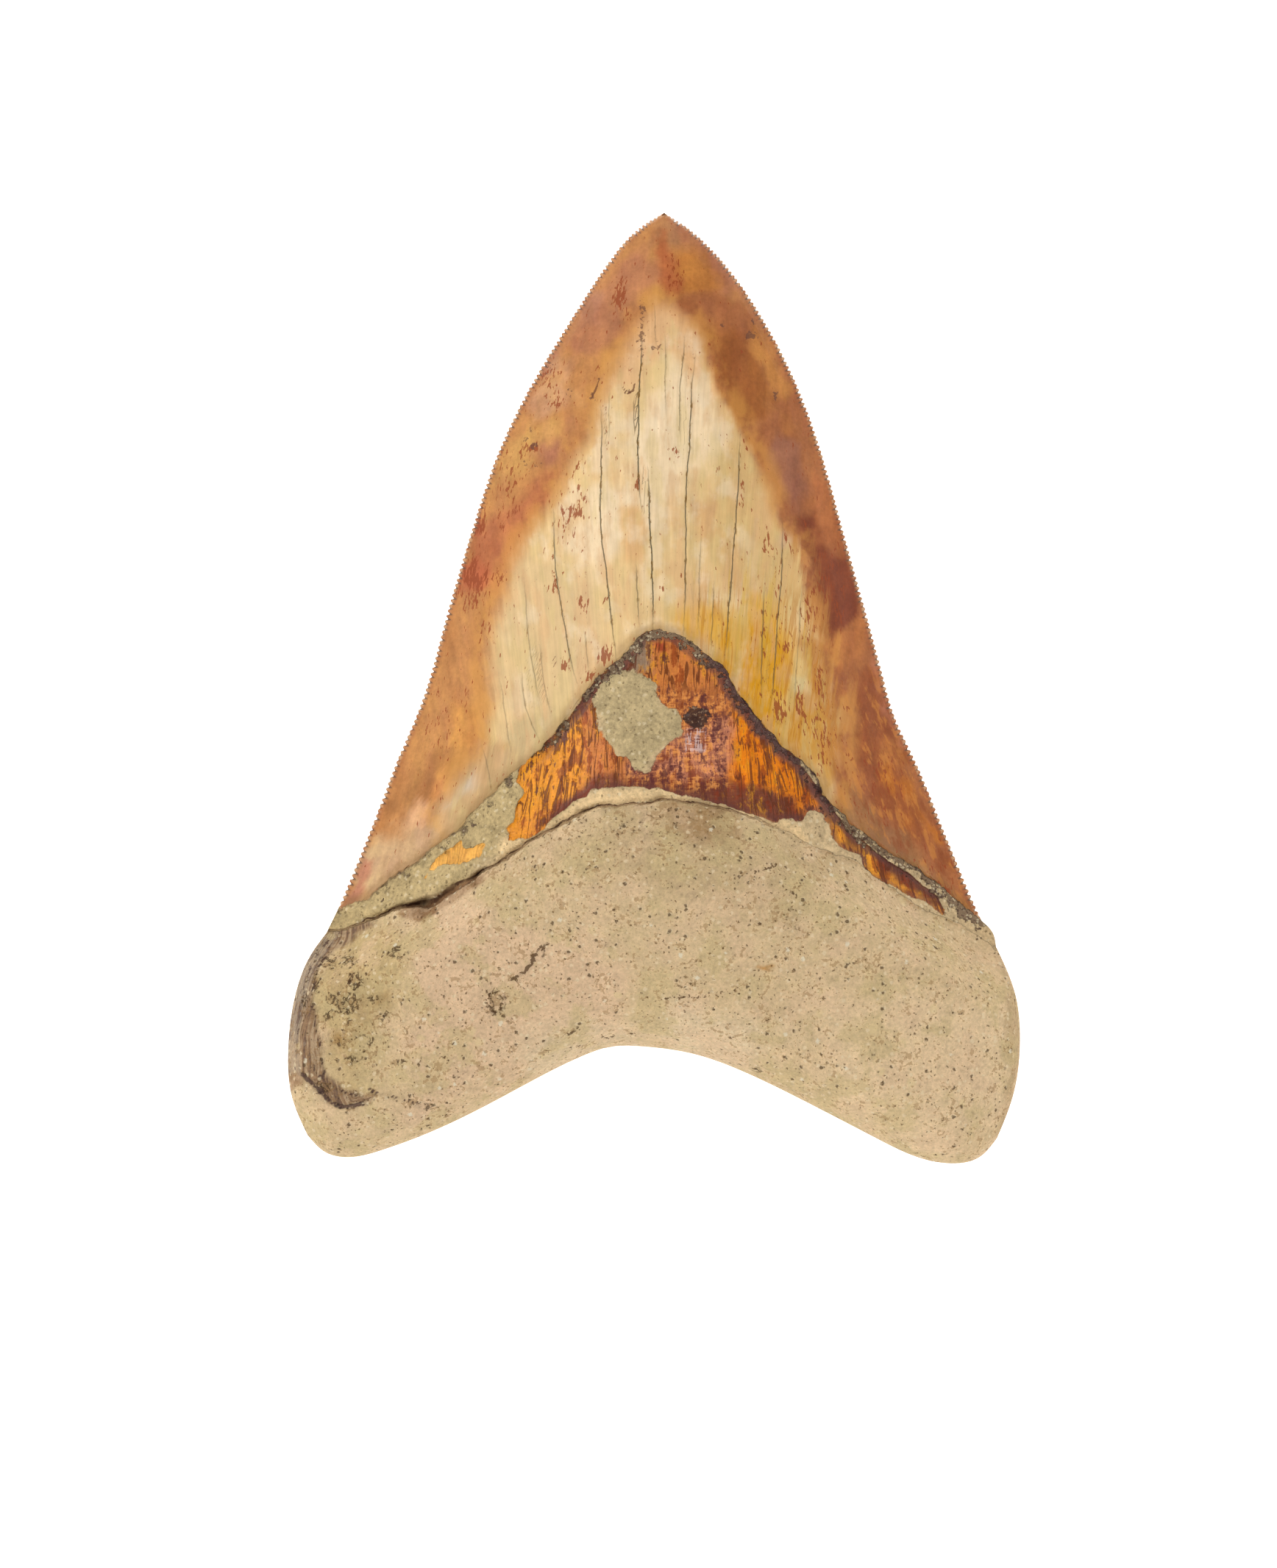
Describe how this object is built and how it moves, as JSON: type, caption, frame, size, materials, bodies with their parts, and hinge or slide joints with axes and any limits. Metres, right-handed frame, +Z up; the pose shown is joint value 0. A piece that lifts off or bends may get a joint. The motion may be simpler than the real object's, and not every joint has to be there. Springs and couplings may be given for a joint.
{
  "type": "megalodon tooth",
  "caption": "Fossil megalodon tooth lying flat: a serrated triangular enamel crown with a chevron-shaped neck band on a thick, lobed root.",
  "frame": {"origin": "on the resting surface, below the middle of the tooth's box as it lies on its labial face", "axes": "+Y from the root to the tip of the crown, +X to the right-hand cutting edge seen from above, +Z up out of the lingual face"},
  "size_m": [0.1076, 0.14, 0.0282],
  "materials": {
    "fossil_tooth": "glossy ivory-to-russet enamel, glossy amber neck band, matt sandy beige root"
  },
  "bodies": {
    "root": {"tooth": "fossil_tooth"}
  },
  "joints": []
}
